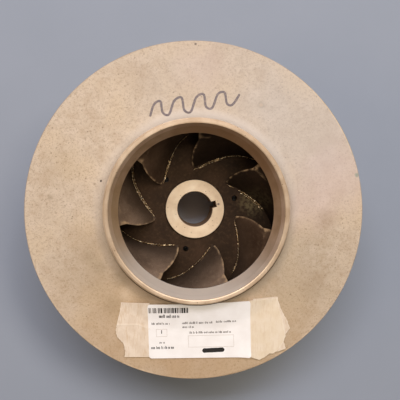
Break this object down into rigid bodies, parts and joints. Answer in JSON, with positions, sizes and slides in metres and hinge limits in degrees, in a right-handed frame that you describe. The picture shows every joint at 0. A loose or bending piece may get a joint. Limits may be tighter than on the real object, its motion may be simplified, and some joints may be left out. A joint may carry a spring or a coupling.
{
  "type": "pump impeller",
  "caption": "Closed centrifugal pump impeller: two round shrouds with backward-swept vanes between them, an open eye, and a keyed hub bore.",
  "frame": {"origin": "on the shaft axis at the rear hub face, on which the impeller rests", "axes": "+Z along the shaft axis out of the eye; +X and +Y across it, with the label on the -Y side"},
  "size_m": [0.3018, 0.3018, 0.102],
  "materials": {
    "bronze_cast": "sand-cast silicon bronze, blasted, dull and faintly mottled",
    "bronze_turned": "lathe-turned bronze, satin with fine rings",
    "bronze_dark": "cast bronze under a dark brown patina",
    "label_paper": "white coated paper",
    "masking_tape": "creped paper tape, cream"
  },
  "bodies": {
    "root": {"front_shroud": "bronze_cast", "eye_ring": "bronze_turned", "back_shroud": "bronze_cast", "rear_ring": "bronze_turned", "hub": "bronze_turned", "vane_1": "bronze_dark", "vane_2": "bronze_dark", "vane_3": "bronze_dark", "vane_4": "bronze_dark", "vane_5": "bronze_dark", "vane_6": "bronze_dark", "vane_7": "bronze_dark", "label": "label_paper", "tape_left": "masking_tape", "tape_right": "masking_tape"}
  },
  "joints": []
}
